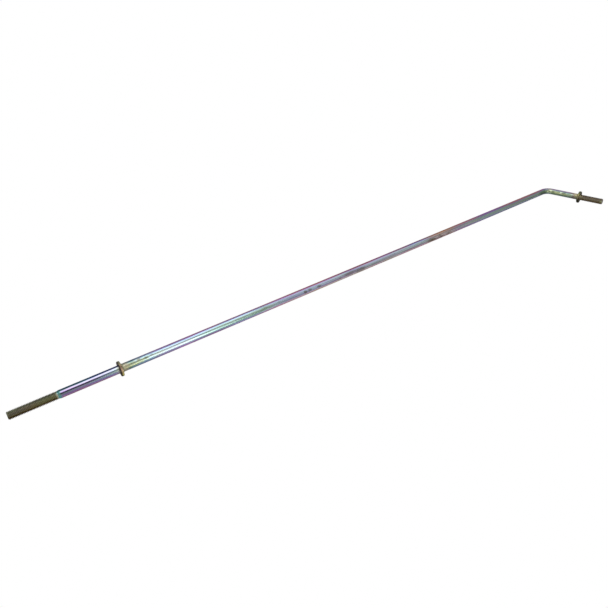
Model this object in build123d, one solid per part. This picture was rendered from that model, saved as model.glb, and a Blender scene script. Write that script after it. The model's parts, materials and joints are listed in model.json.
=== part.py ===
from build123d import *
import os
from math import radians, tan

# A bent steel linkage rod: one bar, threaded at both ends, with a stop collar near each end.
# Lengths are in millimetres and angles in degrees.
# +X runs along the main shank towards the bend, +Z is up, and the bent end turns towards -Y.
# The origin is on the bar's axis, in the outboard face of the near collar.

# Bar
shank_diameter = 8.0
bend_angle = 75.0
bend_radius = 12.0  # to the bar's axis
near_end_length = 100.0  # near collar's outboard face to the near tip
near_face_to_corner = 650.0  # near collar's outboard face to where the two axes would cross
corner_to_far_face = 48.0  # where the axes would cross to the far collar's outboard face
far_end_length = 30.0  # far collar's outboard face to the far tip

# M8 x 1.25 threads, as plain lands at their outside diameter
thread_diameter = 7.85
blank_diameter = 7.15  # what the thread is rolled on, left bare beside it
near_thread_length = 42.5
tip_chamfer = 0.8
thread_end_chamfer = 0.35
near_neck_length = 0.6
near_cone_length = 1.6
far_neck_length = 0.3
far_cone_length = 0.4  # beyond the far collar's outboard face

# Collars, each pressed on a raised band of the bar and welded on its inboard side
near_collar_thickness = 2.2
near_collar_diameter = 15.0
far_collar_thickness = 2.5
far_collar_diameter = 16.0
collar_edge = 0.3
seat_diameter = 8.4
seat_lead_in = 0.2
weld_height = 1.2
weld_length = 1.5
weld_crown = 0.12

shank_radius = shank_diameter / 2
thread_radius = thread_diameter / 2
blank_radius = blank_diameter / 2
seat_radius = seat_diameter / 2
tangent_length = bend_radius * tan(radians(bend_angle / 2))
bend_start = near_face_to_corner - tangent_length
far_collar_start = corner_to_far_face - far_collar_thickness

# The stub's own frame: origin where the two axes would cross, +X out along the stub
stub_frame = Pos(near_face_to_corner, 0, 0) * Rot(0, 0, -bend_angle)


def turned(outline):
    """A solid turned about the X axis, from the (x, radius) points of its upper half."""
    return revolve(make_face(Polyline(*outline, close=True)), Axis.X, 360)


def seat_outline(inboard_x, outboard_x):
    """The raised band that a collar is pressed on, from the shank to the lead-in at its outboard end."""
    outward = 1 if outboard_x > inboard_x else -1
    return [
        (inboard_x, shank_radius),
        (inboard_x, seat_radius),
        (outboard_x - outward * seat_lead_in, seat_radius),
    ]


def thread_outline(neck_x, neck_length, tip_x):
    """A thread, from the bare neck beside it to the bar's axis at the tip."""
    outward = 1 if tip_x > neck_x else -1
    thread_x = neck_x + outward * neck_length
    return [
        (neck_x, blank_radius),
        (thread_x, blank_radius),
        (thread_x + outward * thread_end_chamfer, thread_radius),
        (tip_x - outward * tip_chamfer, thread_radius),
        (tip_x, thread_radius - tip_chamfer),
        (tip_x, 0),
    ]


def main_length():
    """The bar from the start of the bend back to the near tip."""
    tip_x = -near_end_length
    neck_x = tip_x + near_thread_length + near_neck_length
    outline = [(bend_start, 0), (bend_start, shank_radius)]
    outline += seat_outline(near_collar_thickness, 0)
    outline += [(0, shank_radius), (neck_x + near_cone_length, shank_radius)]
    outline += thread_outline(neck_x, near_neck_length, tip_x)
    return turned(outline)


def elbow():
    """The bend: the bar's round section turned about the bend's centre."""
    section = Plane(origin=(bend_start, 0, 0), x_dir=(0, 1, 0), z_dir=(1, 0, 0)) * Circle(shank_radius)
    return revolve(section, Axis((bend_start, -bend_radius, 0), (0, 0, -1)), bend_angle)


def stub():
    """The bar from the end of the bend to the far tip."""
    outline = [(tangent_length, 0), (tangent_length, shank_radius)]
    outline += seat_outline(far_collar_start, corner_to_far_face)
    neck_x = corner_to_far_face + far_cone_length
    outline += thread_outline(neck_x, far_neck_length, corner_to_far_face + far_end_length)
    return stub_frame * turned(outline)


def bent_rod():
    return main_length() + elbow() + stub()


def collar(diameter, thickness):
    """A ring about the X axis, from x = 0 to its thickness, with the rim's two edges broken."""
    rim = diameter / 2
    return turned(
        [
            (0, seat_radius),
            (0, rim - collar_edge),
            (collar_edge, rim),
            (thickness - collar_edge, rim),
            (thickness, rim - collar_edge),
            (thickness, seat_radius),
        ]
    )


def weld():
    """A slightly crowned fillet round the bar, standing on a collar's face at x = 0."""
    foot = (0, shank_radius + weld_height)
    crown = (weld_length / 2 + weld_crown, shank_radius + weld_height / 2 + weld_crown)
    toe = (weld_length, shank_radius)
    root = (0, shank_radius)
    section = make_face([ThreePointArc(foot, crown, toe), Line(toe, root), Line(root, foot)])
    return revolve(section, Axis.X, 360)


def near_collar():
    return collar(near_collar_diameter, near_collar_thickness)


def near_collar_weld():
    return Pos(near_collar_thickness, 0, 0) * weld()


def far_collar():
    return stub_frame * Pos(far_collar_start, 0, 0) * collar(far_collar_diameter, far_collar_thickness)


def far_collar_weld():
    facing_the_bend = Rot(0, 180, 0)
    return stub_frame * Pos(far_collar_start, 0, 0) * facing_the_bend * weld()


parts = {
    "bent_rod": bent_rod(),
    "near_collar": near_collar(),
    "near_collar_weld": near_collar_weld(),
    "far_collar": far_collar(),
    "far_collar_weld": far_collar_weld(),
}

os.makedirs("parts", exist_ok=True)
for name, shape in parts.items():
    export_step(shape, f"parts/{name}.step")
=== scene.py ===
"""Visual model of the bent linkage rod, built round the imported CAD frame.

Lengths are in metres in the frame's own axes: +X runs along the main shank towards the bend, +Z is up.
The bar is shaped as if it were straight, then bent. "Along" is the distance along its axis from the near
collar's outboard face. "Around" is the angle from the top (+Z) towards -Y, the side the photograph shows.
"""

import json
import math

import bmesh
import bpy
import numpy as np
from mathutils import Matrix, Vector


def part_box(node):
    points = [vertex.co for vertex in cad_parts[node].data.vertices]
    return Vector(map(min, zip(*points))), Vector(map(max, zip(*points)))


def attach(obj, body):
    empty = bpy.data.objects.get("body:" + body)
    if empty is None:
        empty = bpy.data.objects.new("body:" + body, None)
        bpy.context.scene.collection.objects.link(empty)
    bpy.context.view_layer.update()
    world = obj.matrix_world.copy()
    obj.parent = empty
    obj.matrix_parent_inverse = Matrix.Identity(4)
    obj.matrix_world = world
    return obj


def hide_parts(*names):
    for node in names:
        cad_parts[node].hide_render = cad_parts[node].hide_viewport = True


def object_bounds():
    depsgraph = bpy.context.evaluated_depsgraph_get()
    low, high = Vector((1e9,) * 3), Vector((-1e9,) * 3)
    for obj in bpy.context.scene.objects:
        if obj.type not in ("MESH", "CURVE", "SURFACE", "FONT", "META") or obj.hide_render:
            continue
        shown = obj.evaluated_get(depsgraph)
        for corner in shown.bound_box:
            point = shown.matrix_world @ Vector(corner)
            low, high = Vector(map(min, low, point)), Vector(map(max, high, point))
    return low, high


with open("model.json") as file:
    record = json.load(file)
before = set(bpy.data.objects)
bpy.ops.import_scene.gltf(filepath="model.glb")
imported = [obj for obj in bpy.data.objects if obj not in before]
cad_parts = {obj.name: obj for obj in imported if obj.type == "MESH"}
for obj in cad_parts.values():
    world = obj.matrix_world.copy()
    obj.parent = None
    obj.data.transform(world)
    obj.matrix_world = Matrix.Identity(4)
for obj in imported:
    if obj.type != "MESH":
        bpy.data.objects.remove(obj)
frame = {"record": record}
cad_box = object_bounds()

MM = 0.001

# ---------------------------------------------------------------- sizes, read from the frame

mounts = {m["name"]: m for m in frame["record"]["mounts"]}


def reach(mount):
    """How far a pin mount reaches along its axis, either way from its middle."""
    return mounts[mount]["dims"]["length_mm"] * MM / 2


NEAR_TIP = cad_box[0].x
THREAD_RADIUS = mounts["near_thread"]["dims"]["r_mm"] * MM
SHANK_RADIUS = mounts["near_shank"]["dims"]["r_mm"] * MM
NEAR_LAND = [mounts["near_thread"]["pos_m"][0] + side * reach("near_thread") for side in (-1, 1)]
NEAR_SHANK_START = mounts["near_shank"]["pos_m"][0] - reach("near_shank")
TIP_CHAMFER = NEAR_LAND[0] - NEAR_TIP

STUB_AXIS = Vector(mounts["far_thread"]["axis"])
BEND_ANGLE = math.acos(STUB_AXIS.x)
BEND_RADIUS = 12 * MM  # of the bar's axis, which the frame doesn't name
TANGENT = BEND_RADIUS * math.tan(BEND_ANGLE / 2)
far_face = Vector(mounts["far_collar_seat"]["pos_m"])
CORNER = far_face - STUB_AXIS * (far_face.y / STUB_AXIS.y)
BEND_START = CORNER.x - TANGENT
BEND_END = BEND_START + BEND_RADIUS * BEND_ANGLE


def stub_along(point):
    """Along-bar distance of a point on the stub's axis."""
    return (Vector(point) - CORNER).dot(STUB_AXIS) - TANGENT + BEND_END


FAR_FACE = stub_along(far_face)
far_middle = stub_along(mounts["far_thread"]["pos_m"])
FAR_LAND = [far_middle - reach("far_thread"), far_middle + reach("far_thread")]
FAR_TIP = FAR_LAND[1] + TIP_CHAMFER


def radius_in_z(node):
    """Outside radius of a turned node, from its height."""
    low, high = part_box(node)
    return (high[2] - low[2]) / 2


NEAR_COLLAR_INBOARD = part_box("near_collar")[1][0]
weld_low, weld_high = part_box("near_collar_weld")
WELD_LENGTH = weld_high[0] - weld_low[0]
WELD_RADIUS = radius_in_z("near_collar_weld")

# Small sizes the frame doesn't name
PITCH = 1.25 * MM
THREAD_RUNOUT = 0.35 * MM  # past the mount, where the last turn ends
THREAD_FADE = 1.4 * PITCH  # over which the thread deepens from nothing
BLANK_RADIUS = 3.575 * MM  # the bar before it was threaded, left bare beside the thread
NEAR_NECK = 0.6 * MM
FAR_NECK = 0.3 * MM
SEAT_RADIUS = 4.2 * MM
SEAT_LEAD_IN = 0.2 * MM
COLLAR_EDGE = 0.3 * MM  # its rounding
WELD_CROWN = 0.12 * MM  # how far the bead bulges
RIPPLE_DEPTH = 0.09 * MM
BEAD_UNEVENNESS = 0.04 * MM

# The far collar's thickness, from how far its box reaches across the bend
far_collar_low, far_collar_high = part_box("far_collar")
rim_lean = 2 * (radius_in_z("far_collar") - COLLAR_EDGE) * abs(STUB_AXIS.x)
far_collar_thickness = (far_collar_high[1] - far_collar_low[1] - rim_lean) / abs(STUB_AXIS.y)
FAR_COLLAR_INBOARD = FAR_FACE - far_collar_thickness

COLUMNS = 64  # round the bar
COLLAR_COLUMNS = 128
COLLAR_EDGE_STEPS = 6
PAINT_STEP = 1.6 * MM  # along the bar, between the rings that carry the plate's colours
STUB_STEP = 0.8 * MM
BEND_STEP = 0.4 * MM

# ---------------------------------------------------------------- mesh building


def bent(along, y, z):
    """Where a point of the straight bar lies on the bent one."""
    turn = min(max(along - BEND_START, 0.0), BEND_END - BEND_START) / BEND_RADIUS
    sin, cos = math.sin(turn), math.cos(turn)
    before = min(along, BEND_START)
    beyond = max(along - BEND_END, 0.0)
    x = before + (BEND_RADIUS + y) * sin + beyond * cos
    return x, -BEND_RADIUS + (BEND_RADIUS + y) * cos - beyond * sin, z


class Skin:
    """Points of the straight bar and the faces between them, which become one bent mesh."""

    def __init__(self, columns=COLUMNS):
        self.columns = columns
        self.points = []
        self.faces = []

    def point(self, along, column, radius):
        """Adds a point and returns its number. Columns are counted from +Y towards +Z."""
        angle = math.tau * column / self.columns
        self.points.append((along, radius * math.cos(angle), radius * math.sin(angle)))
        return len(self.points) - 1

    def ring(self, along, radius):
        return [self.point(along, column, radius) for column in range(self.columns)]

    def bridge(self, first, second):
        """Faces between two rings, the second towards the far end for an outward skin."""
        for j in range(self.columns):
            k = (j + 1) % self.columns
            self.faces.append((first[j], first[k], second[k], second[j]))

    def lathe(self, outline, start=None):
        """Rings through (along, radius) points, joined one after the other."""
        last = start
        for along, radius in outline:
            ring = self.ring(along, radius)
            if last is not None:
                self.bridge(last, ring)
            else:
                first = ring
            last = ring
        return (start or first), last

    def cap(self, ring, along, radii, facing):
        """Closes a ring with smaller rings and a centre point. facing is -1 for the near end, else +1."""
        last = ring
        for radius in radii:
            inner = self.ring(along, radius)
            self.bridge(*((inner, last) if facing < 0 else (last, inner)))
            last = inner
        self.points.append((along, 0.0, 0.0))
        centre = len(self.points) - 1
        for j in range(self.columns):
            k = (j + 1) % self.columns
            face = (last[j], last[k], centre)
            self.faces.append(face[::-1] if facing < 0 else face)

    def build(self, name, sharp_angle=38):
        """The bent mesh object, with the straight bar's coordinates kept in millimetres as "straight"."""
        mesh = bpy.data.meshes.new(name)
        mesh.from_pydata([bent(*p) for p in self.points], [], self.faces)
        straight = mesh.attributes.new("straight", "FLOAT_VECTOR", "POINT")
        straight.data.foreach_set("vector", (np.array(self.points, np.float32) / MM).ravel())
        work = bmesh.new()
        work.from_mesh(mesh)
        bmesh.ops.recalc_face_normals(work, faces=work.faces)
        work.to_mesh(mesh)
        work.free()
        mesh.shade_smooth()
        mesh.set_sharp_from_angle(angle=math.radians(sharp_angle))
        piece = bpy.data.objects.new(name, mesh)
        bpy.context.scene.collection.objects.link(piece)
        return piece


# One pitch of a rolled M8 x 1.25 thread: (share of the pitch, mm below the crest), from root to root
THREAD_KEYS = [
    (0.0, 0.745), (0.05, 0.72), (0.10, 0.64), (0.235, 0.32), (0.36, 0.035), (0.41, 0.0),
    (0.59, 0.0), (0.64, 0.035), (0.765, 0.32), (0.90, 0.64), (0.95, 0.72),
]


def smooth(low, high, value):
    """0 below low, 1 above high and smooth between."""
    share = min(max((value - low) / (high - low), 0.0), 1.0)
    return share * share * (3 - 2 * share)


def thread(skin, begin, end, blank, tip):
    """A right-hand thread between two planes, in rows that follow the helix. Returns its end rings.

    blank is the end where the thread runs out to the bare bar, and tip the chamfered end.
    """
    per_turn = len(THREAD_KEYS)
    spare = 0.2 * PITCH / per_turn  # no point of the helix is closer than this to either end ring

    def along_of(row, column):
        turn, key = divmod(row, per_turn)
        return begin + PITCH * (turn + THREAD_KEYS[key][0] + column / skin.columns)

    def radius_of(row, along):
        full = THREAD_RADIUS - THREAD_KEYS[row % per_turn][1] * MM
        formed = smooth(0.0, THREAD_FADE, abs(along - blank))
        radius = BLANK_RADIUS + (full - BLANK_RADIUS) * formed
        chamfer = THREAD_RADIUS - TIP_CHAMFER + abs(along - tip)
        return min(radius, chamfer, BLANK_RADIUS + abs(along - blank))

    grid, span = {}, []
    last_row = int((end - begin) / PITCH + 2) * per_turn
    for j in range(skin.columns):
        rows = [
            i for i in range(-per_turn, last_row)
            if begin + spare < along_of(i, j) < end - spare
        ]
        for i in rows:
            along = along_of(i, j)
            grid[i, j] = skin.point(along, j, radius_of(i, along))
        span.append((rows[0], rows[-1]))
    span.append((span[0][0] - per_turn, span[0][1] - per_turn))

    def at(row, column):
        return grid[row, column] if column < skin.columns else grid[row + per_turn, 0]

    end_radius = {blank: BLANK_RADIUS, tip: THREAD_RADIUS - TIP_CHAMFER}
    first, last = skin.ring(begin, end_radius[begin]), skin.ring(end, end_radius[end])
    add = skin.faces.append
    for j in range(skin.columns):
        k = (j + 1) % skin.columns
        (low, high), (next_low, next_high) = span[j], span[j + 1]
        if next_low == low:
            add((first[j], first[k], at(low, j + 1), at(low, j)))
        else:
            add((first[j], first[k], at(low, j)))
            add((first[k], at(next_low, j + 1), at(low, j)))
            for i in range(next_low, low):
                add((at(i, j + 1), at(i + 1, j + 1), at(low, j)))
        for i in range(low, next_high):
            add((at(i, j), at(i, j + 1), at(i + 1, j + 1), at(i + 1, j)))
        if next_high == high:
            add((at(high, j), at(high, j + 1), last[k], last[j]))
        else:
            for i in range(next_high, high):
                add((at(i, j), at(next_high, j + 1), at(i + 1, j)))
            add((at(high, j), at(next_high, j + 1), last[j]))
            add((at(next_high, j + 1), last[k], last[j]))
    return first, last


def steps(start, end, size):
    """Evenly spaced stations from start to end, both included, no further apart than size."""
    count = max(1, math.ceil(abs(end - start) / size))
    return [start + (end - start) * i / count for i in range(count + 1)]


# The rings across an end face, and the near neck's curve from the blank to the shank, as shares of its
# length and of its rise
END_RINGS = (0.93, 0.66, 0.33, 0.1)
NECK_CURVE = ((0.1, 0.06), (0.3, 0.28), (0.7, 0.69), (0.9, 0.88))


def build_rod():
    """The whole bar in one skin: thread, neck, shank, near seat, bend, far seat, neck, thread."""
    skin = Skin()
    end_rings = [share * (THREAD_RADIUS - TIP_CHAMFER) for share in END_RINGS]
    near_blank = NEAR_LAND[1] + THREAD_RUNOUT
    first, last = thread(skin, NEAR_TIP, near_blank, blank=near_blank, tip=NEAR_TIP)
    skin.cap(first, NEAR_TIP, end_rings, facing=-1)

    cone_start = near_blank + NEAR_NECK
    cone = NEAR_SHANK_START - cone_start
    rise = SHANK_RADIUS - BLANK_RADIUS
    outline = [(cone_start, BLANK_RADIUS)]
    for share, height in NECK_CURVE:
        outline.append((cone_start + share * cone, BLANK_RADIUS + height * rise))
    shank_start = NEAR_SHANK_START + 0.1 * MM
    outline += [(s, SHANK_RADIUS) for s in steps(shank_start, 0.0, PAINT_STEP)]
    outline += [(SEAT_LEAD_IN, SEAT_RADIUS), (NEAR_COLLAR_INBOARD, SEAT_RADIUS)]
    outline += [(s, SHANK_RADIUS) for s in steps(NEAR_COLLAR_INBOARD, BEND_START, PAINT_STEP)]
    outline += [(s, SHANK_RADIUS) for s in steps(BEND_START, BEND_END, BEND_STEP)[1:]]
    outline += [(s, SHANK_RADIUS) for s in steps(BEND_END, FAR_COLLAR_INBOARD, STUB_STEP)[1:]]
    outline += [(FAR_COLLAR_INBOARD, SEAT_RADIUS), (FAR_FACE - SEAT_LEAD_IN, SEAT_RADIUS)]
    far_blank = FAR_LAND[0] - THREAD_RUNOUT
    outline += [(far_blank - FAR_NECK, BLANK_RADIUS)]
    _, last = skin.lathe(outline, start=last)

    first, end = thread(skin, far_blank, FAR_TIP, blank=far_blank, tip=FAR_TIP)
    skin.bridge(last, first)
    skin.cap(end, FAR_TIP, end_rings, facing=1)
    return skin.build("rod")


def rounded(corner, before, after, size, count):
    """Points of an outline's rounded corner, from the side of the point before to that of the one after."""
    corner, before, after = Vector(corner), Vector(before), Vector(after)
    one, two = (before - corner).normalized(), (after - corner).normalized()
    start, stop = corner + one * size, corner + two * size
    made = []
    for i in range(count + 1):
        t = i / count
        made.append(tuple((1 - t) ** 2 * start + 2 * t * (1 - t) * corner + t * t * stop))
    return made


def build_collar(name, inner_face, outer_face, radius):
    """A turned collar with its corners rounded, from the outboard face round to its bore."""
    skin = Skin(COLLAR_COLUMNS)
    bore = SEAT_RADIUS
    inside, outside = (inner_face, bore), (outer_face, bore)
    top_inside, top_outside = (inner_face, radius), (outer_face, radius)
    outline = [(outer_face, bore), (outer_face, (bore + radius) / 2)]
    outline += rounded(top_outside, outside, top_inside, COLLAR_EDGE, COLLAR_EDGE_STEPS)
    outline += rounded(top_inside, top_outside, inside, COLLAR_EDGE, COLLAR_EDGE_STEPS)
    outline += [(inner_face, (bore + radius) / 2), (inner_face, bore)]
    first, last = skin.lathe(outline)
    skin.bridge(last, first)
    return skin.build(name)


RIPPLES = 24  # round the weld bead
RIPPLE_COLUMNS = 8  # of points, in each
RIPPLE_LEAN = 0.35  # how far its middle runs ahead of its edges, as a share of it
BEAD_RINGS = 9
BEAD_SWELLS = 5  # round the bead, between its thicker places


def build_weld(name, face, outward):
    """A fillet bead round the bar against a collar's face. outward is +1 towards the far end, -1 the near.

    Each ripple of the bead is a shallow crescent, cut into the bead's smooth surface.
    """
    skin = Skin(RIPPLES * RIPPLE_COLUMNS)
    height = WELD_RADIUS - SHANK_RADIUS
    normal = Vector((height, WELD_LENGTH)).normalized()

    def bead(share, column):
        """(distance from the collar, height above the bar) at a share of the way down the bead."""
        bulge = math.sin(math.pi * share)
        ripple = (column / RIPPLE_COLUMNS + RIPPLE_LEAN * bulge) % 1.0
        scallop = (1 - abs(2 * ripple - 1)) ** 0.6
        uneven = 0.5 + 0.5 * math.sin(BEAD_SWELLS * math.tau * column / skin.columns + 1.3 * share)
        depth = (RIPPLE_DEPTH * (1 - scallop) + BEAD_UNEVENNESS * uneven) * bulge ** 0.5
        lift = WELD_CROWN * bulge - depth
        return (
            WELD_LENGTH * share + normal.x * lift,
            height * (1 - share) + normal.y * lift,
        )

    rings = []
    for i in range(BEAD_RINGS + 1):
        share = i / BEAD_RINGS
        ring = []
        for j in range(skin.columns):
            distance, above = bead(share, j)
            ring.append(skin.point(face + outward * distance, j, SHANK_RADIUS + above))
        rings.append(ring)
    inner = skin.ring(face, SHANK_RADIUS)
    for one, two in zip(rings, rings[1:] + [inner]):
        skin.bridge(one, two)
    skin.bridge(inner, rings[0])
    return skin.build(name, sharp_angle=50)


# ---------------------------------------------------------------- materials


class Graph:
    """A material's node tree, built one node at a time."""

    def __init__(self, name):
        self.material = bpy.data.materials.new(name)
        self.material.use_nodes = True
        self.tree = self.material.node_tree
        self.tree.nodes.clear()
        self.output = self.tree.nodes.new("ShaderNodeOutputMaterial")

    def node(self, kind, inputs=None, **settings):
        made = self.tree.nodes.new("ShaderNode" + kind)
        for key, value in settings.items():
            setattr(made, key, value)
        for key, value in (inputs or {}).items():
            self.feed(made.inputs[key], value)
        return made

    def feed(self, socket, value):
        if isinstance(value, bpy.types.NodeSocket):
            self.tree.links.new(value, socket)
        else:
            socket.default_value = value

    def attribute(self, name, output):
        """A value stored on the mesh's points."""
        return self.node("Attribute", attribute_name=name, attribute_type="GEOMETRY").outputs[output]

    def math(self, operation, a, b=0.0, c=0.0):
        return self.node("Math", {0: a, 1: b, 2: c}, operation=operation).outputs[0]

    def vary(self, value, noise, amount):
        """value with a noise added, amount from its lowest to its highest."""
        return self.math("MULTIPLY_ADD", self.math("SUBTRACT", noise, 0.5), amount, value)

    def band(self, value, low, high, out_low=0.0, out_high=1.0):
        """value mapped smoothly from low..high to out_low..out_high."""
        made = self.node(
            "MapRange",
            {"Value": value, "From Min": low, "From Max": high, "To Min": out_low, "To Max": out_high},
            interpolation_type="SMOOTHSTEP",
        )
        return made.outputs["Result"]

    def mix(self, factor, a, b, blend="MIX"):
        made = self.node("Mix", data_type="RGBA", blend_type=blend, clamp_factor=True, clamp_result=True)
        self.feed(made.inputs["Factor"], factor)
        self.feed(made.inputs[6], a)
        self.feed(made.inputs[7], b)
        return made.outputs[2]

    def across(self, first, second):
        """A vector of two numbers."""
        return self.node("CombineXYZ", {0: first, 1: second}).outputs[0]

    def drawn_out(self, vector, scale):
        """Coordinates whose patterns are stretched along the bar, the more the smaller the scale."""
        return self.node("Mapping", {"Vector": vector, "Scale": (scale, 1.0, 1.0)}).outputs[0]

    def noise(self, vector, scale, detail, roughness):
        inputs = {"Vector": vector, "Scale": scale, "Detail": detail, "Roughness": roughness}
        return self.node("TexNoise", inputs).outputs[0]

    def ramp(self, factor, stops, interpolation="LINEAR"):
        """A colour from stops of (place from 0 to 1, colour)."""
        made = self.node("ValToRGB", {0: factor})
        ramp = made.color_ramp
        ramp.interpolation = interpolation
        while len(ramp.elements) < len(stops):
            ramp.elements.new(0.5)
        for element, (place, colour) in zip(ramp.elements, stops):
            element.position = place
            element.color = (*colour, 1.0)
        return made.outputs[0]

    def bump(self, height, distance, strength, normal=None):
        inputs = {"Height": height, "Distance": distance, "Strength": strength}
        if normal is not None:
            inputs["Normal"] = normal
        return self.node("Bump", inputs).outputs[0]

    def surface(self, shader):
        self.feed(self.output.inputs["Surface"], shader.outputs[0])

    def principled(self, **inputs):
        inputs = {key.replace("_", " "): value for key, value in inputs.items()}
        self.surface(self.node("BsdfPrincipled", inputs))


def grey(value):
    return (value, value, value, 1.0)


# Colours that the passivated plate goes through as its film thickens, from thin to thick
FILM = [
    (0.00, (0.46, 0.36, 0.20)),  # olive brown
    (0.12, (0.80, 0.47, 0.30)),  # orange
    (0.22, (0.76, 0.36, 0.54)),  # magenta
    (0.32, (0.56, 0.38, 0.78)),  # violet
    (0.42, (0.50, 0.54, 0.78)),  # periwinkle
    (0.54, (0.60, 0.76, 0.84)),  # pale blue
    (0.66, (0.60, 0.76, 0.68)),  # blue green
    (0.78, (0.70, 0.76, 0.46)),  # yellow green
    (1.00, (0.50, 0.46, 0.30)),  # olive
]

# Film down the side that faces the photograph, and down the top and underside: (along in mm, phase).
# The top and underside hold the film's colour with a painted sheen, its colour shift seen at a slant.
CORE_FILM = [
    (-56, 0.35), (-25, 0.37), (-8, 0.46), (9, 0.74), (22, 0.72), (32, 0.62), (60, 0.56), (110, 0.62),
    (160, 0.66), (180, 0.50), (215, 0.47), (260, 0.50), (300, 0.44), (350, 0.47), (395, 0.47), (420, 0.42),
    (445, 0.42), (465, 0.48), (500, 0.62), (560, 0.66), (640, 0.68), (660, 0.78), (684, 0.76),
    (688, 0.60), (700, 0.10),
]
TOP_FILM = [
    (-56, 0.36), (-10, 0.44), (9, 0.56), (30, 0.40), (50, 0.32), (90, 0.26), (160, 0.26), (180, 0.21),
    (230, 0.17), (300, 0.18), (325, 0.30), (385, 0.28), (400, 0.18), (425, 0.10), (450, 0.13), (475, 0.22),
    (515, 0.31), (545, 0.20), (580, 0.16), (620, 0.12), (650, 0.36), (672, 0.40), (684, 0.28),
]
UNDER_FILM = [
    (-56, 0.22), (-10, 0.25), (10, 0.55), (34, 0.38), (60, 0.30), (120, 0.31), (160, 0.28), (180, 0.22),
    (260, 0.17), (340, 0.20), (400, 0.20), (430, 0.26), (470, 0.32), (500, 0.38), (550, 0.50), (640, 0.60),
    (660, 0.76), (690, 0.66),
]

# Runs of thicker or thinner film: (start, end, softness in mm, around and half width in degrees, change)
RUNS = [
    (-54, 2, 5, 68, 8, 0.15),
    (-54, 2, 5, -16, 20, 0.20),
    (26, 150, 16, 18, 8, -0.05),
    (250, 276, 8, 32, 12, 0.10),
    (478, 640, 26, 20, 15, -0.26),
    (648, 690, 5, 24, 15, -0.30),
    (640, 690, 6, 84, 14, 0.06),
]

# Runs of another tone, a few of them painted highlights, reflections and shade as marked: (start, end,
# softness in mm, around and half width in degrees, colour, strength)
TINTS = [
    (-53, -26, 6, -10, 26, (0.05, 0.20, 0.22), 0.75),  # teal and navy along the top, outboard of the collar: film colour, partly a painted dark reflection
    (-28, 4, 6, -8, 26, (0.04, 0.08, 0.28), 0.80),
    (-54, -4, 8, 24, 9, (0.92, 0.82, 0.92), 0.45),  # painted highlight: paler where the overhead softbox reflects
    # painted dark reflection along the middle of the near shank
    (-52, -16, 8, 51, 5, (0.10, 0.08, 0.12), 0.25),
    (-54, 0, 5, 92, 14, (0.40, 0.22, 0.62), 0.40),
    (9, 34, 5, 8, 22, (0.22, 0.46, 0.50), 0.60),  # mottled length inboard of the near weld
    (7, 26, 5, 68, 16, (0.60, 0.62, 0.28), 0.50),
    (11, 15, 1.5, -2, 14, (0.10, 0.24, 0.20), 0.45),
    (13, 21, 2.5, 26, 9, (0.62, 0.52, 0.54), 0.35),
    (10, 60, 8, 112, 18, (0.20, 0.42, 0.44), 0.50),
    (30, 150, 30, 22, 10, (0.30, 0.32, 0.50), 0.12),
    (130, 170, 14, 62, 14, (0.45, 0.66, 0.50), 0.40),
    (406, 454, 8, -4, 24, (0.88, 0.54, 0.36), 0.66),  # orange along the top of the tan length
    (422, 442, 6, -8, 18, (0.94, 0.62, 0.32), 0.36),
    (500, 548, 14, 0, 18, (0.40, 0.28, 0.78), 0.35),  # violet along the top of the green length
    (590, 636, 8, -6, 20, (0.95, 0.56, 0.36), 0.50),  # orange again towards the bend
    (630, 648, 4, 78, 36, (0.10, 0.22, 0.13), 0.62),  # dark green into the bend
    (649.5, 655.5, 1.2, 54, 32, (0.92, 1.00, 0.62), 0.92),  # painted reflection, yellow green, in the bend
    (657, 660, 1.5, 80, 32, (0.22, 0.30, 0.14), 0.45),
    (656.5, 661, 1.2, 74, 26, (0.36, 0.48, 0.22), 0.45),
    (661, 671, 1.5, 64, 11, (0.80, 0.88, 0.42), 0.65),  # painted highlight, yellow green, down the stub
    (673, 676, 1.2, 50, 30, (0.26, 0.30, 0.14), 0.60),
    (645, 689, 6, 18, 34, (0.16, 0.15, 0.20), 0.62),  # painted shade, lavender grey, along the top of the stub
    (664, 684, 4, 92, 12, (0.34, 0.40, 0.14), 0.50),
    (678, 686, 2, 58, 26, (0.34, 0.62, 0.60), 0.50),
    (684, 694, 3, 92, 34, (0.12, 0.10, 0.07), 0.45),
    (-101, -58.8, 0.6, 112, 24, (0.20, 0.11, 0.035), 0.75),  # near thread: brown below, green grey above
    (-101, -58.8, 0.6, 6, 24, (0.22, 0.25, 0.18), 0.60),
    (-101, -76, 8, 52, 22, (0.40, 0.35, 0.33), 0.55),
    (-84, -59, 8, 62, 20, (0.46, 0.40, 0.18), 0.45),
    (693, 727, 0.6, 116, 22, (0.24, 0.17, 0.07), 0.60),  # far thread
    (693, 727, 0.6, 62, 9, (0.40, 0.37, 0.36), 0.50),
]
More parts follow.
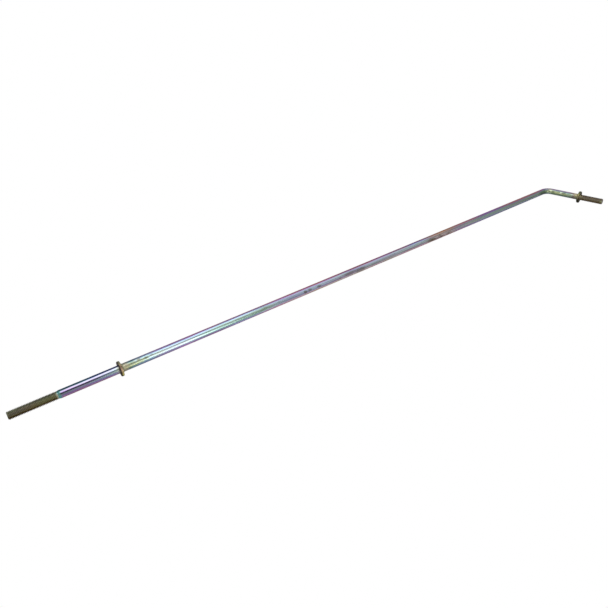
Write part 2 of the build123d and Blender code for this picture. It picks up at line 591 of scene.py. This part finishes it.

# Runs where the colour is darker, lighter or warmer, partly the plate's own tone and partly painted light
# and shade that stand in for reflections, by their place along the bar: (start, end, softness in mm, around
# and half width in degrees, what the red, green and blue are multiplied by)
TONES_AND_PAINTED_LIGHT = {
    "near thread": [
        (-101, -91, 3, 25, 8, (0.78, 0.85, 0.74)),
        (-101, -90, 4, -6, 24, (1.42, 1.46, 1.48)),
        (-101, -84, 4, 110, 24, (0.90, 0.86, 0.78)),
        (-101, -84, 4, 53, 8, (0.82, 0.88, 0.78)),
        (-101, -83, 4, 108, 18, (0.76, 0.72, 0.62)),
        (-101, -59, 0.6, 92, 16, (1.02, 1.00, 0.78)),
        (-76, -59.2, 5, 60, 34, (1.03, 1.15, 1.20)),
        (-76, -59, 5, -6, 24, (0.87, 0.88, 0.85)),
    ],
    "near neck and the bare ring beside it": [
        (-58.9, -57.6, 0.3, 6, 30, (0.80, 0.80, 0.64)),
        (-58.9, -57.6, 0.3, 83, 16, (0.75, 0.70, 0.50)),
        (-58.0, -54.6, 0.5, -4, 34, (0.45, 0.76, 0.68)),
        (-58.0, -54.6, 0.5, 60, 16, (1.55, 1.60, 1.46)),
        (-58.0, -54.6, 0.5, 104, 26, (1.10, 1.40, 1.38)),
    ],
    "near shank": [
        (-54.4, -51, 1, 10, 14, (0.62, 0.82, 0.74)),
        (-54.4, -47, 3, 8, 16, (0.64, 0.80, 0.68)),
        (-54.4, -47, 3, 68, 14, (0.82, 0.80, 0.76)),
        (-54, -36, 5, 10, 9, (0.80, 0.84, 0.78)),
        (-54, -36, 5, 34, 12, (0.92, 0.86, 0.92)),
        (-54, -3, 5, -17, 22, (0.34, 0.77, 0.86)),
        (-44, -30, 4, 55, 6, (1.20, 1.06, 1.00)),
        (-38, -20, 5, 39, 8, (0.86, 0.78, 0.85)),
        (-34, -3, 5, 92, 16, (0.92, 1.15, 1.15)),
        (-17, -3, 3, 0, 16, (0.82, 0.84, 1.00)),
        (-11, -3, 2, 55, 10, (0.80, 0.84, 0.82)),
        (-10, -2, 2, 100, 18, (1.16, 1.08, 1.02)),
    ],
    "beside the near weld": [
        (3, 8, 1, -10, 22, (0.75, 0.78, 0.70)),
        (3, 8.5, 1, 74, 14, (1.28, 1.28, 1.18)),
        (8.6, 11, 1, 102, 18, (0.74, 0.90, 0.76)),
    ],
    "mottled length": [
        (9, 15, 2, 34, 14, (0.78, 0.80, 0.80)),
        (9, 15, 3, -12, 24, (0.62, 0.85, 0.84)),
        (9, 15, 3, 32, 16, (0.68, 0.72, 0.68)),
        (9, 15, 3, 108, 20, (0.66, 0.90, 0.85)),
        (9, 32, 4, -22, 14, (0.72, 0.84, 0.88)),
        (12, 15, 2, 4, 10, (1.20, 1.12, 1.05)),
        (16, 34, 5, 5, 10, (1.50, 1.32, 1.52)),
        (16, 34, 5, 80, 40, (0.92, 1.04, 1.26)),
        (25, 34, 4, 56, 12, (1.24, 1.16, 1.00)),
    ],
    "silvery blue length": [
        (24, 115, 8, 35, 9, (0.82, 0.88, 0.87)),
        (26, 48, 6, 14, 14, (1.10, 0.92, 1.10)),
        (30, 84, 10, 56, 8, (1.56, 1.42, 1.28)),
        (30, 100, 10, 5, 10, (1.42, 1.36, 1.42)),
        (30, 160, 12, 24, 10, (0.80, 0.89, 0.91)),
        (36, 80, 8, 110, 26, (1.44, 1.10, 1.36)),
        (70, 112, 8, 71, 9, (0.84, 0.93, 0.87)),
        (84, 160, 10, 54, 8, (1.12, 1.24, 1.16)),
        (100, 155, 12, 76, 14, (0.82, 0.94, 0.92)),
        (100, 160, 12, 5, 10, (1.16, 1.58, 1.50)),
        (120, 156, 8, 112, 20, (1.12, 1.52, 1.50)),
        (152, 168, 5, 38, 9, (0.84, 0.90, 1.00)),
    ],
    "violet length": [
        (150, 240, 12, 70, 9, (0.86, 0.85, 0.85)),
        (158, 190, 10, 112, 24, (1.50, 1.50, 1.28)),
        (160, 262, 12, -4, 26, (1.20, 0.98, 1.04)),
        (160, 300, 12, 42, 9, (0.90, 0.90, 0.94)),
        (164, 190, 8, 4, 12, (1.22, 1.24, 1.52)),
        (190, 262, 10, 72, 12, (0.88, 0.84, 0.88)),
        (190, 290, 10, 116, 24, (1.92, 1.98, 1.46)),
        (240, 292, 10, 100, 12, (1.26, 1.07, 1.08)),
        (240, 296, 10, 16, 14, (0.88, 0.86, 0.92)),
        (244, 292, 12, 64, 18, (0.76, 0.64, 0.66)),
        (244, 308, 8, 104, 20, (1.36, 1.26, 1.22)),
        (262, 375, 16, -8, 26, (1.03, 0.86, 0.85)),
        (268, 284, 6, 60, 30, (0.82, 0.76, 0.72)),
        (284, 312, 8, 6, 24, (1.02, 1.02, 0.84)),
        (290, 415, 10, 112, 24, (1.55, 1.80, 1.38)),
        (292, 412, 12, 72, 14, (0.76, 0.73, 0.60)),
        (297, 314, 5, 77, 14, (0.80, 0.84, 0.76)),
        (300, 400, 14, 42, 16, (1.02, 1.07, 0.91)),
        (311, 324, 4, 80, 12, (0.80, 0.86, 0.70)),
        (322, 352, 8, 112, 22, (1.38, 1.26, 1.12)),
        (324, 352, 8, 86, 8, (1.00, 0.82, 0.88)),
        (324, 352, 8, 104, 12, (1.20, 1.10, 1.04)),
        (338, 372, 8, 12, 18, (0.97, 0.95, 0.78)),
        (356, 398, 8, 76, 13, (0.87, 0.80, 0.78)),
        (371, 386, 5, 0, 20, (0.80, 0.97, 0.98)),
        (374, 408, 8, -2, 26, (0.82, 0.90, 1.04)),
    ],
    "tan length": [
        (402, 424, 6, 76, 13, (0.83, 0.88, 0.84)),
        (412, 436, 6, -10, 18, (1.02, 0.92, 0.80)),
        (420, 496, 10, 44, 18, (1.18, 1.09, 0.96)),
        (424, 456, 8, -4, 28, (1.12, 1.02, 0.78)),
        (424, 470, 8, 112, 24, (1.16, 1.20, 1.02)),
        (428, 452, 6, 106, 14, (1.08, 1.12, 1.00)),
        (454, 472, 6, 18, 32, (1.15, 1.06, 0.95)),
        (454, 472, 6, 82, 10, (0.88, 0.80, 0.74)),
        (462, 496, 10, 10, 18, (1.24, 1.14, 0.96)),
        (462, 500, 10, 76, 16, (0.86, 0.76, 0.70)),
    ],
    "green length": [
        (496, 512, 5, 30, 12, (0.86, 1.06, 0.97)),
        (496, 552, 12, 4, 14, (0.98, 1.00, 1.56)),
        (500, 650, 14, 82, 20, (0.84, 0.87, 0.83)),
        (515, 600, 10, 116, 20, (0.87, 0.90, 0.94)),
        (540, 650, 14, 118, 20, (0.77, 0.84, 0.83)),
        (556, 640, 14, 2, 22, (1.34, 1.03, 1.14)),
        (560, 600, 8, 46, 10, (0.93, 0.81, 0.90)),
    ],
    "bend and stub": [
        (645, 657, 2, -4, 24, (1.42, 1.44, 1.30)),
        (645.5, 648.5, 1.2, 76, 18, (0.78, 0.80, 0.74)),
        (650.5, 655, 1.2, 53, 12, (1.20, 1.28, 1.22)),
        (655, 686, 3, 112, 30, (0.56, 0.66, 0.60)),
        (655, 690, 3, 126, 16, (0.72, 0.76, 0.75)),
        (656, 690, 3, -6, 24, (2.05, 2.20, 1.90)),
        (656.5, 660, 1.5, 40, 26, (0.80, 0.82, 0.82)),
        (660, 686, 3, 32, 14, (0.76, 0.80, 0.82)),
        (662, 668.3, 1.2, 43, 12, (0.66, 0.76, 0.80)),
        (668.6, 671.4, 0.8, 62, 18, (1.60, 2.20, 2.05)),
        (671, 684, 1.2, 4, 14, (1.42, 1.52, 1.46)),
        (672, 680, 1.2, 38, 16, (0.66, 0.77, 0.82)),
        (672.5, 676, 1, 46, 15, (0.74, 0.86, 0.90)),
        (679, 684, 1.2, 60, 22, (0.88, 0.84, 0.72)),
        (680, 686.5, 1.5, 28, 14, (0.70, 0.58, 0.55)),
        (684, 688, 1, 68, 18, (1.22, 1.12, 1.22)),
        (684, 693, 2, 20, 40, (1.26, 1.20, 1.02)),
        (688.6, 691.5, 0.4, 66, 24, (1.40, 1.56, 1.12)),
    ],
    "far thread": [
        (693, 698.5, 1, 50, 34, (1.50, 1.55, 1.34)),
        (693, 727, 0.6, 0, 30, (0.62, 0.62, 0.56)),
        (693, 727, 0.6, 98, 22, (1.02, 1.00, 0.88)),
        (693, 727, 0.6, 66, 14, (1.18, 1.24, 1.16)),
        (722, 727, 1, 88, 28, (1.34, 1.56, 1.38)),
    ],
}

# Stretches of the bar with a finish of their own: (start, end, softness in mm, colour, roughness, strength)
STRETCHES = [
    (404, 454, 9, (0.59, 0.47, 0.40), 0.24, 0.70),  # dull tan length
    (-57.4, -54.8, 0.4, (0.185, 0.46, 0.455), 0.36, 1.0),  # near neck
    (2.0, 8.6, 1.4, (0.66, 0.625, 0.45), 0.50, 1.0),  # heat-marked beside the near weld
    (685.0, 694.0, 1.2, (0.51, 0.46, 0.37), 0.46, 1.0),  # and beside the far weld
    (692.9, 727.0, 0.3, (0.38, 0.325, 0.235), 0.60, 1.0),  # far thread
    (-3.0, 0.0, 0.9, (0.60, 0.61, 0.47), 0.34, 0.70),  # outboard of the near collar
    (-0.3, 1.0, 0.1, (0.34, 0.32, 0.23), 0.45, 1.0),
    (-59.2, -57.5, 0.3, (0.58, 0.58, 0.44), 0.45, 1.0),  # where the near thread runs out
    (-101.0, -59.1, 0.3, (0.36, 0.34, 0.205), 0.60, 1.0),  # near thread
    (-101.0, -99.6, 0.2, (0.19, 0.27, 0.135), 0.50, 0.8),  # near tip's chamfer and face
    (724.8, 727.0, 0.2, (0.47, 0.51, 0.37), 0.45, 0.8),  # far tip's chamfer and face
]

# Brown marks where the plate is stained: (along mm, around degrees, length mm, width mm, strength)
STAINS = [
    (213, 66, 5, 1.8, 0.75), (219.5, 60, 5, 1.6, 0.65), (232.5, 66, 6, 1.6, 0.70), (262, 80, 5, 1.3, 0.4),
    (277, 74, 16, 2.4, 0.40), (292, 78, 20, 2.6, 0.60), (335, 92, 34, 1.6, 0.35),
    (19, 30, 4, 1.3, 0.6), (26, 48, 5, 1.2, 0.65), (32, 40, 4, 1.0, 0.4), (9.6, 97, 4, 1.2, 0.5),
    (161, 46, 5, 1.6, 0.35), (178.5, 50, 4, 1.4, 0.25),
    (410, 88, 16, 2.4, 0.70), (425, 62, 6, 1.8, 0.55), (441, 78, 8, 1.8, 0.5), (427, 92, 8, 1.8, 0.55),
    (76, 118, 4, 1.1, 0.5), (672, 62, 4, 1.2, 0.6),
]

FACING = 55  # degrees around the bar, the middle of what the photograph shows
EDGE_SHEEN_SHIFT = 0.07  # painted sheen: how much lower the film's phase is again, at the very top and underside
MOTTLED = (7.0, 32.0, 5.0)  # the mottled length: start, end, softness in mm
NO_STAIN = 3.0  # a distance, in stain widths, that no stain reaches


def eased(value, low, high):
    """0 below low, 1 above high and smooth between, for a whole array."""
    share = np.clip((value - low) / (high - low), 0.0, 1.0)
    return share * share * (3 - 2 * share)


def between(along, start, end, soft):
    """1 between start and end, fading to 0 over softness at each."""
    return eased(along, start - soft, start + soft) * eased(-along, -end - soft, -end + soft)


def run_mask(along, around, start, end, soft, middle, half_width):
    """1 in the middle of a run down the bar, fading at its ends and sides."""
    away = np.abs((around - middle + 180) % 360 - 180)
    return between(along, start, end, soft) * eased(-away, -1.5 * half_width, -0.5 * half_width)


def film_phase(along, around):
    """The film's thickness, as a place in FILM, with a painted sheen at the top and underside."""
    core, top, under = (np.interp(along, *zip(*film)) for film in (CORE_FILM, TOP_FILM, UNDER_FILM))
    turned = np.radians(around - FACING)
    # painted sheen: the top and underside take their own phase, lower again at the very edge
    edge = top + (under - top) * (0.5 + 0.5 * np.sin(turned))
    facing = np.cos(2 * turned)  # 1 at the front and back, -1 at the top and underside
    phase = core + (edge - core) * (1 - eased(facing, -0.30, 0.85))
    phase -= EDGE_SHEEN_SHIFT * (1 - eased(facing, -0.95, -0.2))
    for start, end, soft, middle, half_width, change in RUNS:
        phase += change * run_mask(along, around, start, end, soft, middle, half_width)
    return phase


def lay(under, mask, over):
    """One layer of values over another."""
    mask = mask[:, None]
    return under * (1 - mask) + np.array(over, float) * mask


def paint_plate(piece):
    """Stores on the bar's points how thick its film is and how it is tinted, shaded, dulled and stained.

    The film's top and underside, some tints and the shades carry painted sheen, highlights, reflections and
    shade.
    """
    mesh = piece.data
    straight = np.empty(len(mesh.vertices) * 3, np.float32)  # in mm
    mesh.attributes["straight"].data.foreach_get("vector", straight)
    straight = straight.reshape(-1, 3).astype(float)
    along = straight[:, 0]
    around = np.degrees(np.arctan2(-straight[:, 1], straight[:, 2]))
    # the runs wander a few degrees round the bar, and the stretches' ends are a little ragged
    swaying = around + 4 * np.sin(along / 23) + 3 * np.sin(along / 9.1 + 2)
    ragged = along + 0.8 * np.sin(np.radians(3 * around) + along / 4)

    tint = np.zeros((len(along), 4))
    gloss = np.zeros((len(along), 3))  # roughness, how far it replaces the film's own, mottling
    for start, end, soft, colour, rough, strength in STRETCHES:
        mask = strength * between(ragged if soft > 1 else along, start, end, soft)
        tint = lay(tint, mask, (*colour, 1.0))
        gloss = lay(gloss, mask, (rough, 1.0, 0.0))
    gloss[:, 2] = between(along, *MOTTLED) * (0.7 + 0.3 * np.cos(np.radians(around - FACING)))

    sided = between(along, NEAR_TIP / MM + 0.3, FAR_TIP / MM - 0.3, 0.3)  # the end faces have no sides
    for start, end, soft, middle, half_width, colour, strength in TINTS:
        mask = strength * sided * run_mask(along, swaying, start, end, soft, middle, half_width)
        tint = lay(tint, mask, (*colour, 1.0))
    # the plate's tone with painted light and shade, as multipliers of the colour
    tone_and_painted_light = np.ones((len(along), 3))
    for rows in TONES_AND_PAINTED_LIGHT.values():
        for start, end, soft, middle, half_width, factor in rows:
            mask = sided * run_mask(along, swaying, start, end, soft, middle, half_width)
            tone_and_painted_light *= 1 + mask[:, None] * (np.array(factor) - 1)

    stain = np.zeros((len(along), 3))  # distance in stain widths, strength, nothing
    stain[:, 0] = NO_STAIN
    for place, degrees, length, width, strength in STAINS:
        side, radius = math.radians(degrees), SHANK_RADIUS / MM
        centre = (place, -math.sin(side) * radius, math.cos(side) * radius)
        offset = (straight - centre) / (length / 2, width, width)
        distance = np.linalg.norm(offset, axis=1)
        nearer = distance < stain[:, 0]
        stain[nearer, 0] = distance[nearer]
        stain[nearer, 1] = strength

    # each colour and roughness as it is where it covers fully
    tint[:, :3] /= np.maximum(tint[:, 3:], 1e-6)
    gloss[:, :1] /= np.maximum(gloss[:, 1:2], 1e-6)
    film = mesh.attributes.new("film", "FLOAT", "POINT")
    film.data.foreach_set("value", film_phase(along, around).astype(np.float32))
    tints = mesh.attributes.new("tint", "FLOAT_COLOR", "POINT")
    tints.data.foreach_set("color", tint.astype(np.float32).ravel())
    for name, values in (("tone_and_painted_light", tone_and_painted_light), ("gloss", gloss), ("stain", stain)):
        made = mesh.attributes.new(name, "FLOAT_VECTOR", "POINT")
        made.data.foreach_set("vector", values.astype(np.float32).ravel())


def bar_material():
    graph = Graph("iridescent_plate_bar")
    vector = graph.attribute("straight", "Vector")
    streaks = graph.noise(graph.drawn_out(vector, 0.03), 0.55, 3.0, 0.6)
    blotches = graph.noise(graph.drawn_out(vector, 0.25), 0.30, 2.0, 0.5)
    mottle = graph.noise(graph.drawn_out(vector, 0.45), 0.75, 2.0, 0.6)
    gloss = graph.node("SeparateXYZ", {0: graph.attribute("gloss", "Vector")}).outputs

    phase = graph.attribute("film", "Fac")
    phase = graph.vary(phase, streaks, 0.20)
    phase = graph.vary(phase, blotches, 0.16)
    phase = graph.vary(phase, mottle, graph.math("MULTIPLY", gloss[2], 0.9))
    colour = graph.ramp(phase, FILM, "EASE")

    # tints, a little uneven, some of them painted highlights, reflections and shade, then lighter and
    # darker runs that are partly the plate's tone and partly painted light and shade
    tint = graph.mix(1.0, graph.attribute("tint", "Color"), graph.vary(1.0, mottle, 0.8), "MULTIPLY")
    colour = graph.mix(graph.attribute("tint", "Alpha"), colour, tint)
    colour = graph.mix(1.0, colour, graph.attribute("tone_and_painted_light", "Color"), "MULTIPLY")
    roughness = graph.band(streaks, 0.3, 0.7, 0.14, 0.22)
    change = graph.math("SUBTRACT", gloss[0], roughness)
    roughness = graph.math("MULTIPLY_ADD", change, gloss[1], roughness)

    # brown stains, with ragged edges
    stain = graph.node("SeparateXYZ", {0: graph.attribute("stain", "Vector")}).outputs
    distance = graph.vary(stain[0], mottle, 1.6)
    mark = graph.math("MULTIPLY", graph.band(distance, 0.45, 1.25, 1.0, 0.0), stain[1])
    colour = graph.mix(mark, colour, (0.16, 0.14, 0.08, 1.0))
    roughness = graph.math("MULTIPLY_ADD", mark, 0.2, roughness)

    # fine lines from drawing the bar
    drawn = graph.noise(graph.drawn_out(vector, 0.01), 5.0, 2.0, 0.6)
    graph.principled(
        Base_Color=colour, Metallic=1.0, Roughness=roughness, Normal=graph.bump(drawn, 0.00001, 0.25),
        Specular_Tint=(0.85, 0.50, 0.90, 1.0),
    )
    return graph.material


# Colours round each collar's rim, from its top (0) past the side the photograph shows to its underside (1):
# the plate's tone, with painted light across the side seen and painted shade towards the underside,
# near black under the far collar as a painted contact shadow
NEAR_RIM_TONE_AND_PAINTED_LIGHT = [
    (0.0, (0.42, 0.42, 0.26)), (0.08, (0.40, 0.35, 0.22)), (0.15, (0.33, 0.25, 0.16)),
    (0.24, (0.25, 0.16, 0.11)), (0.36, (0.88, 0.60, 0.44)), (0.46, (0.90, 0.68, 0.38)),
    (0.60, (0.96, 0.88, 0.22)), (0.76, (0.40, 0.38, 0.16)),
]
FAR_RIM_TONE_AND_PAINTED_LIGHT = [
    (0.04, (0.20, 0.22, 0.12)), (0.14, (0.14, 0.15, 0.06)), (0.26, (0.36, 0.34, 0.14)),
    (0.42, (0.40, 0.32, 0.20)), (0.52, (0.16, 0.16, 0.08)), (0.62, (0.03, 0.03, 0.012)),
    (0.8, (0.10, 0.09, 0.05)),
]
COLLAR_FACES = [
    (0.30, (0.05, 0.045, 0.03)), (0.48, (0.10, 0.085, 0.05)), (0.62, (0.15, 0.13, 0.08)),
    (0.80, (0.22, 0.16, 0.10)),
]


def collar_material():
    graph = Graph("olive_plate_collar")
    vector = graph.attribute("straight", "Vector")
    along, y, z = graph.node("SeparateXYZ", {0: vector}).outputs
    patches = graph.noise(vector, 0.35, 3.0, 0.55)
    grain = graph.noise(vector, 2.6, 3.0, 0.6)

    # the near rim, dark along its outboard edge, and the far one, each with its painted light and shade
    # round it
    around = graph.math("ARCTAN2", graph.math("MULTIPLY", y, -1.0), z)
    place = graph.vary(graph.math("MULTIPLY", around, 1 / math.pi), patches, 0.25)
    outboard = graph.band(graph.vary(along, patches, 0.8), 0.1, 0.9, 0.75, 0.0)
    near_rim = graph.mix(outboard, graph.ramp(place, NEAR_RIM_TONE_AND_PAINTED_LIGHT), (0.07, 0.05, 0.035, 1.0))
    rim = graph.mix(graph.band(along, 300.0, 400.0), near_rim, graph.ramp(place, FAR_RIM_TONE_AND_PAINTED_LIGHT))

    # the faces inside the rim, turned and pitted
    from_axis = graph.node("VectorMath", {0: graph.across(y, z)}, operation="LENGTH").outputs["Value"]
    from_axis = graph.vary(from_axis, grain, 0.5)
    colour = graph.mix(graph.band(from_axis, 6.9, 7.4), graph.ramp(patches, COLLAR_FACES), rim)
    colour = graph.mix(graph.band(grain, 0.30, 0.42, 0.45, 0.0), colour, (0.07, 0.055, 0.03, 1.0))
    turning = graph.node("TexWave", {
        "Vector": graph.across(from_axis, 0.0), "Scale": 2.2, "Distortion": 0.6, "Detail": 1.0,
    })
    bump = graph.bump(turning.outputs[0], 0.00002, 0.5)
    graph.principled(
        Base_Color=colour, Metallic=1.0, Roughness=graph.band(patches, 0.3, 0.7, 0.38, 0.52),
        Normal=graph.bump(grain, 0.00003, 0.5, bump),
    )
    return graph.material


def weld_material():
    graph = Graph("matte_plate_weld")
    patches = graph.noise(graph.attribute("straight", "Vector"), 0.9, 3.0, 0.55)
    colour = graph.ramp(patches, [
        (0.30, (0.50, 0.50, 0.32)), (0.55, (0.74, 0.77, 0.50)), (0.80, (0.82, 0.92, 0.58)),
    ])
    graph.principled(Base_Color=colour, Metallic=1.0, Roughness=0.5)
    return graph.material


# ---------------------------------------------------------------- the object

rod = build_rod()
paint_plate(rod)
rod.data.materials.append(bar_material())
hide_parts("bent_rod")
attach(rod, "root")

collar_finish = collar_material()
weld_finish = weld_material()
COLLARS = {  # each node's inboard face, outboard face, and which way inboard is
    "near_collar": (NEAR_COLLAR_INBOARD, 0.0, 1),
    "far_collar": (FAR_COLLAR_INBOARD, FAR_FACE, -1),
}
for node, (inner, outer, inboard) in COLLARS.items():
    collar = build_collar(node + "_turned", inner, outer, radius_in_z(node))
    collar.data.materials.append(collar_finish)
    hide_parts(node)
    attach(collar, "root")
    weld = build_weld(node + "_bead", inner, inboard)
    weld.data.materials.append(weld_finish)
    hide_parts(node + "_weld")
    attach(weld, "root")

# ---------------------------------------------------------------- studio

FLOOR_REACH = 4.0
FLOOR_GREY = 0.66
ROOM_GREY = 0.27
WHITE = grey(1.0)

scene = bpy.context.scene
scene.view_settings.view_transform = "Standard"


def panel(name, corners, material):
    """A flat four-cornered piece of the studio."""
    mesh = bpy.data.meshes.new(name)
    mesh.from_pydata(corners, [], [(0, 1, 2, 3)])
    mesh.materials.append(material)
    made = bpy.data.objects.new(name, mesh)
    scene.collection.objects.link(made)
    return made


def floor_material():
    """White to the camera, and a satin grey in what the object reflects."""
    graph = Graph("pale_floor")
    seen = graph.node("LightPath").outputs["Is Camera Ray"]
    white = graph.node("Emission", {"Color": WHITE, "Strength": 1.0})
    satin = graph.node("BsdfPrincipled", {"Base Color": grey(FLOOR_GREY), "Roughness": 0.18, "IOR": 1.7})
    graph.surface(graph.node("MixShader", {0: seen, 1: satin.outputs[0], 2: white.outputs[0]}))
    return graph.material


def cloth_material():
    graph = Graph("dark_cloth")
    graph.surface(graph.node("BsdfDiffuse", {"Color": grey(0.02)}))
    return graph.material


floor_z = cad_box[0].z
round_the_floor = ((-1, -1), (1, -1), (1, 1), (-1, 1))
floor_corners = [(x * FLOOR_REACH, y * FLOOR_REACH, floor_z) for x, y in round_the_floor]
panel("floor", floor_corners, floor_material())

world = bpy.data.worlds.new("studio")
scene.world = world
world.use_nodes = True
tree = world.node_tree
tree.nodes.clear()
path = tree.nodes.new("ShaderNodeLightPath")
lit = tree.nodes.new("ShaderNodeBackground")
lit.inputs["Color"].default_value = grey(ROOM_GREY)
seen = tree.nodes.new("ShaderNodeBackground")
seen.inputs["Color"].default_value = WHITE
mixed = tree.nodes.new("ShaderNodeMixShader")
world_output = tree.nodes.new("ShaderNodeOutputWorld")
tree.links.new(path.outputs["Is Camera Ray"], mixed.inputs[0])
tree.links.new(lit.outputs[0], mixed.inputs[1])
tree.links.new(seen.outputs[0], mixed.inputs[2])
tree.links.new(mixed.outputs[0], world_output.inputs[0])


def softbox(name, place, target, width, height, radiance):
    """A rectangular light at place that faces target; radiance is how bright its face is."""
    light = bpy.data.lights.new(name, "AREA")
    light.shape = "RECTANGLE"
    light.size, light.size_y = width, height
    light.energy = radiance * math.pi * width * height
    made = bpy.data.objects.new(name, light)
    made.location = place
    made.rotation_euler = (Vector(target) - Vector(place)).to_track_quat("-Z", "Y").to_euler()
    made.visible_camera = False
    scene.collection.objects.link(made)


softbox("overhead", (0.09, -0.06, 0.95), (0.09, -0.06, 0.0), 0.93, 0.84, 1.25)
softbox("overhead_fill", (0.95, -0.20, 0.95), (0.95, -0.20, 0.0), 0.74, 1.3, 0.45)
softbox("front_low", (0.34, -1.0, 0.11), (0.34, 0.0, 0.11), 0.30, 0.26, 1.30)
softbox("front_tall", (0.34, -1.02, 0.37), (0.34, 0.0, 0.37), 0.32, 0.80, 0.70)
softbox("front_fill", (1.10, -1.0, 0.38), (1.10, 0.0, 0.38), 0.80, 0.84, 0.38)
softbox("left_low", (-1.3, 0.0, 0.35), (0.3, 0.0, 0.35), 1.2, 0.7, 0.45)

# The dark shape of the photographer, seen only in reflections
FLAG_SIDES, FLAG_Y, FLAG_BOTTOM, FLAG_TOP = (-0.35, 0.085), -0.55, 0.26, 0.64
flag_corners = [(x, FLAG_Y, FLAG_BOTTOM) for x in FLAG_SIDES]
flag_corners += [(x, FLAG_Y, FLAG_TOP) for x in reversed(FLAG_SIDES)]
flag = panel("dark_flag", flag_corners, cloth_material())
flag.visible_camera = flag.visible_diffuse = flag.visible_shadow = False

# ---------------------------------------------------------------- camera

AZIMUTH, ELEVATION, ROLL = math.radians(-33.371), math.radians(33.022), math.radians(-3.585)
CAMERA_PLACE = Vector((-83.92, -450.25, 334.57)) * MM
FRAME_PIXELS, FOCAL_PIXELS = 608, 569.25
SENSOR = 36.0  # mm

level = Vector((math.cos(AZIMUTH), math.sin(AZIMUTH), 0.0))
towards = Vector((math.sin(AZIMUTH), -math.cos(AZIMUTH), 0.0))  # the camera's side, on the floor
back = towards * math.cos(ELEVATION) + Vector((0.0, 0.0, math.sin(ELEVATION)))
upright = back.cross(level)
right = level * math.cos(ROLL) + upright * math.sin(ROLL)
up = upright * math.cos(ROLL) - level * math.sin(ROLL)
camera_data = bpy.data.cameras.new("camera")
camera = bpy.data.objects.new("camera", camera_data)
scene.collection.objects.link(camera)
camera_data.sensor_width = SENSOR
camera_data.lens = SENSOR * FOCAL_PIXELS / FRAME_PIXELS
camera_data.clip_start, camera_data.clip_end = 0.01, 20.0
camera.matrix_world = Matrix((
    (right.x, up.x, back.x, CAMERA_PLACE.x),
    (right.y, up.y, back.y, CAMERA_PLACE.y),
    (right.z, up.z, back.z, CAMERA_PLACE.z),
    (0, 0, 0, 1),
))
scene.camera = camera
